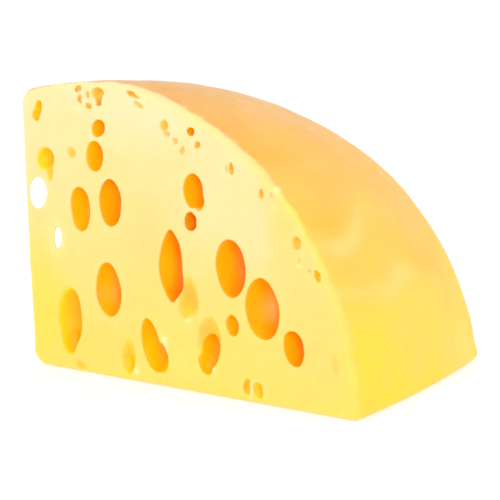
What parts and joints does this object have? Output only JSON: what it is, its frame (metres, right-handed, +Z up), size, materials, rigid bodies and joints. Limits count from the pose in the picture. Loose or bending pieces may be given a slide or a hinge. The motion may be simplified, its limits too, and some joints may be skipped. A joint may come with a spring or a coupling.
{
  "type": "cheese wedge",
  "caption": "Thick wedge of pale yellow large-eyed cheese with three straight cut faces full of oval holes and a smooth curved rind.",
  "frame": {"origin": "middle of the wedge's footprint on the surface it stands on", "axes": "+Z up; the big cut face with the oval holes looks along -Y; the straight left cut looks along -X; the curved rind runs from the top over to +X"},
  "size_m": [0.1574, 0.11, 0.1163],
  "materials": {
    "cheese": "soft waxy satin, slightly translucent, with a golden rind"
  },
  "bodies": {
    "root": {"cheese_wedge": "cheese"}
  },
  "joints": []
}
